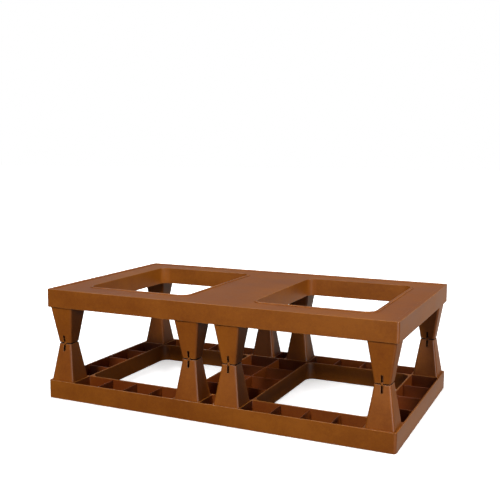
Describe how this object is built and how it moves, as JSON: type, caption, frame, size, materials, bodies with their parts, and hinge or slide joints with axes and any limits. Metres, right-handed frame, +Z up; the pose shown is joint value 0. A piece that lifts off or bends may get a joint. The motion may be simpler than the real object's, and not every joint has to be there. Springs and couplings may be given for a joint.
{
  "type": "hive stand",
  "caption": "Low knock-down stand that carries hives side by side: two ribbed plastic frames with large openings, held apart by tapered legs keyed tip to tip.",
  "frame": {"origin": "on the ground, under the middle of the stand", "axes": "+X along the length, left to right seen from the front; -Y to the front; +Z up"},
  "size_m": [0.96, 0.552, 0.3],
  "materials": {
    "frame_plastic": "satin moulded plastic",
    "leg_plastic": "satin moulded plastic",
    "key_plastic": "satin moulded plastic"
  },
  "bodies": {
    "lower_half": {"lower_frame": "frame_plastic", "lower_leg_front_outer_left": "leg_plastic", "lower_leg_front_inner_left": "leg_plastic", "lower_leg_front_inner_right": "leg_plastic", "lower_leg_front_outer_right": "leg_plastic", "lower_leg_back_outer_left": "leg_plastic", "lower_leg_back_inner_left": "leg_plastic", "lower_leg_back_inner_right": "leg_plastic", "lower_leg_back_outer_right": "leg_plastic", "key_front_outer_left": "key_plastic", "key_front_inner_left": "key_plastic", "key_front_inner_right": "key_plastic", "key_front_outer_right": "key_plastic", "key_back_outer_left": "key_plastic", "key_back_inner_left": "key_plastic", "key_back_inner_right": "key_plastic", "key_back_outer_right": "key_plastic"},
    "upper_half": {"upper_frame": "frame_plastic", "upper_leg_front_outer_left": "leg_plastic", "upper_leg_front_inner_left": "leg_plastic", "upper_leg_front_inner_right": "leg_plastic", "upper_leg_front_outer_right": "leg_plastic", "upper_leg_back_outer_left": "leg_plastic", "upper_leg_back_inner_left": "leg_plastic", "upper_leg_back_inner_right": "leg_plastic", "upper_leg_back_outer_right": "leg_plastic"}
  },
  "joints": [
    {"name": "upper_half_lift", "type": "slide", "parent": "lower_half", "child": "upper_half", "axis": [0, 0, 1], "range_m": [0, 0.1]}
  ]
}
